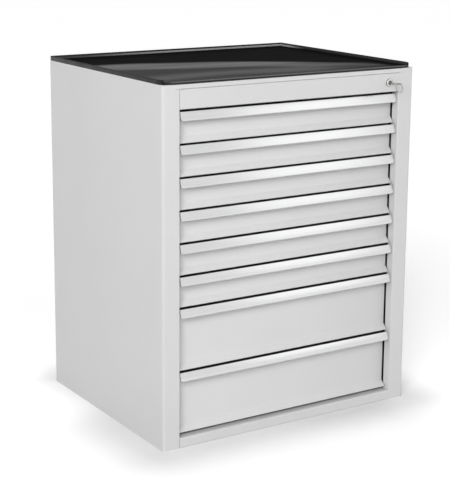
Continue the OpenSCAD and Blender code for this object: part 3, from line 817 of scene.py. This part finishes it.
# %% Sheet outline
def sheet_outline(points, thickness):
    """The outline of a sheet of even thickness along a line of points in Y and Z."""
    half = thickness / 2
    one_side, other_side = [], []
    for k, p in enumerate(points):
        before = (Vector(p) - Vector(points[k - 1])).normalized() if k else None
        after = (Vector(points[k + 1]) - Vector(p)).normalized() if k < len(points) - 1 else None
        along = (before or after) + (after or before)
        along.normalize()
        across = Vector((-along.y, along.x))
        # a bend's corner lies further from the line than the flat sheet does
        reach = half / max((before or after).dot(along), 0.3)
        one_side.append(Vector(p) + across * reach)
        other_side.append(Vector(p) - across * reach)
    return [tuple(v) for v in one_side] + [tuple(v) for v in reversed(other_side)]


# %% Drawer fronts
SHEET = 1.2 * MM
HALF_SHEET = SHEET / 2
for i in DRAWERS:
    low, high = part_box(f"drawer_front_{i}")
    handle_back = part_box(f"drawer_handle_{i}")[1][1]
    toe, hem_end = low[1] + HALF_SHEET, low[1] + 6 * MM
    panel = handle_back - 1.7 * MM - SHEET + HALF_SHEET
    bottom = low[2] + HALF_SHEET
    knee = low[2] + 14.5 * MM
    line = [
        (hem_end, bottom),
        (toe + 0.9 * MM, bottom),
        (toe + 0.25 * MM, bottom + 0.2 * MM),
        (toe, bottom + 0.7 * MM),
        (toe + 0.15 * MM, bottom + 1.3 * MM),
        (panel - 0.5 * MM, knee - 0.5 * MM),
        (panel, knee + 0.6 * MM),
        (panel, high[2]),
    ]
    bm = bmesh.new()
    prism(bm, sheet_outline(line, SHEET), low[0], high[0])
    softened(bm, 0.35 * MM)
    # the two side flanges, turned back behind the panel
    near_y, far_y = panel + HALF_SHEET * 0.9, high[1]
    low_z, high_z = knee + 4 * MM, high[2] - 3 * MM
    for side, end in ((-1, low[0]), (1, high[0])):
        flange = bmesh.new()
        prism(flange, [(near_y, low_z), (far_y, low_z), (far_y, high_z), (near_y, high_z)], end, end - side * SHEET)
        softened(flange, 0.3 * MM)
        add_to(bm, flange)
    finished(f"front_{i}", bm, [coat], f"drawer_{i}", f"drawer_front_{i}")

# %% [markdown]
# ## The top tray
#
# The tray is one drawn sheet. Its rim stands 11 mm high at the sides and the back and dips to 6 mm
# along the front, and a small relief cut splits the rim in the middle of each front corner. It starts
# as a flat plate with rounded corners. The plate is extruded up, and then inset again and again, a
# little deeper or lower each time: each inset is one line of the rim's section.


# %% Tray outline
low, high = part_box("top_tray")
rim_h = high[2] - low[2]
FRONT_R, BACK_R, FLOOR_T = 28 * MM, 4 * MM, 2.5 * MM
# the rim's section in mm, as (how far in, height): over its rounded top, and then round its foot
RIM_TOP = ((0.25, 10.5), (0.75, 10.9), (1.4, 11.0), (2.1, 10.85), (2.7, 10.4), (3.0, 9.6), (3.15, 6.5))
RIM_FOOT = ((3.45, 5.0), (4.3, 3.7), (5.6, 2.85), (7.0, 2.5), (8.5, 2.45))
TOP_ROUND = 1.2 * MM
bm = bmesh.new()
bmesh.ops.create_grid(bm, x_segments=1, y_segments=1, size=0.5)
bmesh.ops.scale(bm, vec=(high[0] - low[0], high[1] - low[1], 1), verts=bm.verts)
bmesh.ops.translate(bm, vec=((low[0] + high[0]) / 2, (low[1] + high[1]) / 2, low[2]), verts=bm.verts)
front = [v for v in bm.verts if v.co.y < 0]
bmesh.ops.bevel(bm, geom=front, offset=FRONT_R, segments=50, profile=0.5, affect="VERTICES", material=-1)
rear = [v for v in bm.verts if v.co.y > high[1] - 1 * MM]
bmesh.ops.bevel(bm, geom=rear, offset=BACK_R, segments=5, profile=0.5, affect="VERTICES", material=-1)
print(f"plate with {len(bm.verts)} corners")


# %% Tray rim
def stepped_in(bm, face, inwards, height):
    """Insets the face and sets the height of what is left inside."""
    bmesh.ops.inset_region(bm, faces=[face], thickness=inwards, use_even_offset=True, use_boundary=True)
    for v in face.verts:
        v.co.z = low[2] + height


plate = bm.faces[:][0]
out = bmesh.ops.extrude_face_region(bm, geom=[plate] + plate.edges[:] + plate.verts[:], use_keep_orig=True)
top = [f for f in out["geom"] if isinstance(f, bmesh.types.BMFace)][0]
bmesh.ops.translate(bm, verts=top.verts, vec=(0, 0, FLOOR_T))
# with its edges, the face itself moves on and leaves no wall inside
out = bmesh.ops.extrude_face_region(bm, geom=[top] + top.edges[:])
top = [f for f in out["geom"] if isinstance(f, bmesh.types.BMFace)][0]
bmesh.ops.translate(bm, verts=top.verts, vec=(0, 0, rim_h - TOP_ROUND - FLOOR_T))
at = 0.0
for inwards, height in RIM_TOP:
    stepped_in(bm, top, inwards * MM - at, height * MM)
    at = inwards * MM
# past the inside of the back corners' round, the rest is square
for side in (-1, 1):
    corner = [v for v in top.verts if v.co.y > high[1] - 6 * MM and v.co.x * side > high[0] - 6 * MM]
    middle = sum((v.co for v in corner), Vector()) / len(corner)
    bmesh.ops.pointmerge(bm, verts=corner, merge_co=middle)
for inwards, height in RIM_FOOT:
    stepped_in(bm, top, inwards * MM - at, height * MM)
    at = inwards * MM
print(f"{len(bm.faces)} faces, {len([e for e in bm.edges if not e.is_manifold])} open edges")

# %% [markdown]
# The front rim is the same rim pressed lower, from the middle of each front corner on. A small relief
# notch marks where the two heights meet: there the rim goes down nearly to the floor.


# %% Tray front
CUT_FROM, CUT_TO, CUT_MIDDLE = 42.5, 47.5, 45  # degrees round the corner
SIDE_RIM, FRONT_RIM = 8.5, 3.5  # mm over the tray's floor
LEFT_IN_CUT = 0.3 * MM


def corner_angle(v):
    """How far round a front corner a point is: 0 at the side, 90 at the front, or None elsewhere."""
    for side in (-1, 1):
        centre = Vector((side * (high[0] - FRONT_R), low[1] + FRONT_R))
        away = Vector((side * (v.co.x - centre.x), centre.y - v.co.y))
        if away.x > -1e-5 and away.y > -1e-5 and away.length > 5 * MM:
            return math.degrees(math.atan2(away.y, away.x))
    return 90.0 if v.co.y < low[1] + FRONT_R and abs(v.co.x) < high[0] - FRONT_R else None


for v in bm.verts:
    angle = corner_angle(v)
    above = v.co.z - low[2] - FLOOR_T
    if angle is None or above < 0.1 * MM:
        continue
    if CUT_FROM < angle < CUT_TO:
        v.co.z = low[2] + FLOOR_T + LEFT_IN_CUT
    elif angle > CUT_MIDDLE:
        v.co.z = low[2] + FLOOR_T + above * FRONT_RIM / SIDE_RIM
finished("drawn_tray", bm, [tray_black], "cabinet", "top_tray", sharp=40)

# %% [markdown]
# ## The middle rails
#
# Between the cabinet's rail and the drawer's rail runs a flat steel bar with two rollers on each side.
# Each roller is nylon with a groove in its face, and turns on a steel pin whose head is upset over it.
# Rollers and pins are spun from their sections.


# %% Middle rails
BAR_SIZE = (2 * MM, 488.5 * MM, 24 * MM)
BAR_X, BAR_Y = 304 * MM, 7.75 * MM
# in mm: the sections as (place along the axis, radius), and for each roller on the bar which way it
# points, its place across and its place along the bar
WHEEL = [(0, 3.2), (0, 9.9), (0.9, 11.2), (6.1, 11.2), (7, 9.9), (7, 8.6), (6.4, 8.2), (6.4, 5.9), (7, 5.5),
         (7, 3.2)]
PIN = [(-0.6, 0.01), (-0.6, 3), (7.1, 3), (7.1, 4.1), (7.5, 4.4), (7.9, 3.8), (7.98, 2), (7.98, 0.01)]
ROLLERS = ((1, 305.6, 8.5), (1, 305.6, 238.5), (-1, 302.4, 8.5), (-1, 302.4, -221.5))


def middle_rail(bm, side, height):
    """One bar with its four rollers; side is -1 for the left and 1 for the right."""
    bar = bmesh.new()
    bmesh.ops.create_cube(bar, size=1)
    bmesh.ops.scale(bar, vec=BAR_SIZE, verts=bar.verts)
    bmesh.ops.translate(bar, vec=(side * BAR_X, BAR_Y, height), verts=bar.verts)
    ends = [e for e in bar.edges if abs(e.verts[0].co.x - e.verts[1].co.x) > 1 * MM]
    bmesh.ops.bevel(bar, geom=ends, offset=4 * MM, segments=5, profile=0.5, affect="EDGES", material=-1)
    softened(bar, 0.3 * MM)
    add_to(bm, bar)
    for outwards, across, along in ROLLERS:
        centre = (side * across * MM, along * MM, height)
        out = side * outwards
        add_to(bm, turned([(a * out, r) for a, r in WHEEL], "X", centre), 1)
        add_to(bm, turned([(a * out, r) for a, r in PIN], "X", centre, 24))


for i in DRAWERS:
    low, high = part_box(f"middle_rails_{i}")
    bm = bmesh.new()
    for side in (-1, 1):
        middle_rail(bm, side, (low[2] + high[2]) / 2)
    finished(f"roller_rails_{i}", bm, [zinc, white_nylon], f"rails_{i}", f"middle_rails_{i}")

# %% [markdown]
# ## The lock and the key
#
# The lock's barrel ends in a round flange with a raised lip round the plug. The key is stamped from
# sheet: a round bow with a hole, a neck and a blade with cuts along both edges. Its ring is a flat
# spring wound twice, so that keys can be slid on at the split.

# %% Lock flange
LOCK_X = 277 * MM
LOCK_Z = (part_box("lock_barrel")[0][2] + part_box("lock_barrel")[1][2]) / 2
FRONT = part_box("fascia")[0][1]
LOCK = Vector((LOCK_X, FRONT, LOCK_Z))
BRIGHT_FROM, BRIGHT_TO = 5.7 * MM, 9.2 * MM
flange = [(24, 8), (24, 5.58), (-2.2, 5.58), (-2.75, 6.0), (-2.8, 6.5), (-2.75, 7.1), (-2.2, 7.5), (-1.9, 8.1),
          (-1.85, 9.1), (-1.5, 9.75), (-0.9, 10), (0, 10), (0, 8)]
bm = turned(flange, "Y", LOCK, 64)
# painted shade: the flange's outer slope and its bore get the dark nickel, standing for the shade round the
# flange's edge and inside the bore
for face in bm.faces:
    middle = face.calc_center_median() - LOCK
    bright = BRIGHT_FROM <= math.hypot(middle.x, middle.z) <= BRIGHT_TO
    face.material_index = 0 if bright else 1
finished("lock_flange", bm, [plated, dark_metal_and_shade], "cabinet", "lock_barrel")


# %% Key
KEY_SHEET = 2 * MM


def key_outline():
    """Half of the key's outline from its tip back to the bow, in mm: half width and distance."""
    side = [(1.2, 16.0), (3.8, 13.0)]
    for k in (3, 2, 1, 0):
        side += [(3.8, 2.9 + 3.1 * k), (2.7, 2.1 + 3.1 * k), (2.6, 1.2 + 3.1 * k), (3.8, 0.3 + 3.1 * k)]
    return side + [(3.8, -2.9), (5.0, -2.9), (5.0, -16.5)]


def stamped(bm):
    """Gives a flat shape the thickness of the key's sheet."""
    out = bmesh.ops.extrude_face_region(bm, geom=bm.faces[:] + bm.edges[:] + bm.verts[:], use_keep_orig=True)
    raised = [v for v in out["geom"] if isinstance(v, bmesh.types.BMVert)]
    bmesh.ops.translate(bm, verts=raised, vec=(0, 0, KEY_SHEET))


bm = bmesh.new()
half = key_outline()
under = LOCK_Z - KEY_SHEET / 2
blade = [bm.verts.new((LOCK_X + x * MM, FRONT + y * MM, under)) for x, y in half]
blade += [bm.verts.new((LOCK_X - x * MM, FRONT + y * MM, under)) for x, y in reversed(half)]
bm.faces.new(blade)
stamped(bm)
softened(bm, 0.25 * MM)
bow = bmesh.new()
bmesh.ops.create_circle(bow, segments=56, radius=12 * MM)
inner = bmesh.ops.create_circle(bow, segments=56, radius=4.2 * MM)["verts"]
bmesh.ops.translate(bow, verts=inner, vec=(0, -4.3 * MM, 0))
bmesh.ops.bridge_loops(bow, edges=bow.edges[:])
stamped(bow)
bmesh.ops.translate(bow, verts=bow.verts, vec=(LOCK_X, FRONT - 27 * MM, under))
softened(bow, 0.3 * MM, 3)
add_to(bm, bow)
finished("stamped_key", bm, [brushed_key], "cabinet_key", "key")

# %% Key ring
RING_R, WIRE_R = 11.35 * MM, 0.38 * MM
STEPS, PITCH = 150, 0.8 * MM
low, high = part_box("key_ring")
bm = bmesh.new()
bmesh.ops.create_circle(bm, segments=10, radius=WIRE_R, cap_ends=True)
bmesh.ops.rotate(bm, cent=(0, 0, 0), matrix=Matrix.Rotation(math.pi / 2, 3, "X"), verts=bm.verts)
bmesh.ops.translate(bm, verts=bm.verts, vec=(-PITCH / 2, 0, RING_R))
bmesh.ops.spin(bm, geom=bm.verts[:] + bm.edges[:] + bm.faces[:], cent=(0, 0, 0), axis=(1, 0, 0),
               angle=math.radians(700), steps=STEPS, dvec=(PITCH / STEPS, 0, 0), use_duplicate=False)
bmesh.ops.translate(bm, verts=bm.verts, vec=(low + high) / 2)
finished("split_ring", bm, [dark_metal_and_shade], "ring", "key_ring")

# %% [markdown]
# ## Finishes of the measured pieces
#
# All other nodes keep their measured shapes. They get a finish by their kind: powder coat on
# everything that is folded from sheet, zinc on the rails, posts and small hardware, and black on the
# locking bar. The nodes that a new piece stands for get one too, because they stay in the file.

# %% Give the finishes
kinds_with = {
    satin: ("drawer_handle",),
    zinc: ("drawer_rails", "middle_rails", "rail_posts", "cabinet_rails", "back_rivets", "lock_cam", "lock_nut"),
    tray_black: ("top_tray",),
    plated: ("lock_barrel", "key_ring"),
    dark_metal_and_shade: ("lock_plug",),
    brushed_key: ("key",),
    # black coat that is also painted shade in the gaps
    black_coat_and_gap_shade: ("lock_bar", "lock_bar_tabs", "lock_bar_guides"),
}
finish_of = {kind: finish for finish, kinds in kinds_with.items() for kind in kinds}
for name, node in nodes.items():
    kind = name.rstrip("0123456789").rstrip("_")
    node.data.materials.clear()
    node.data.materials.append(finish_of.get(kind, coat))
print(f"finishes given to {len(nodes)} nodes")
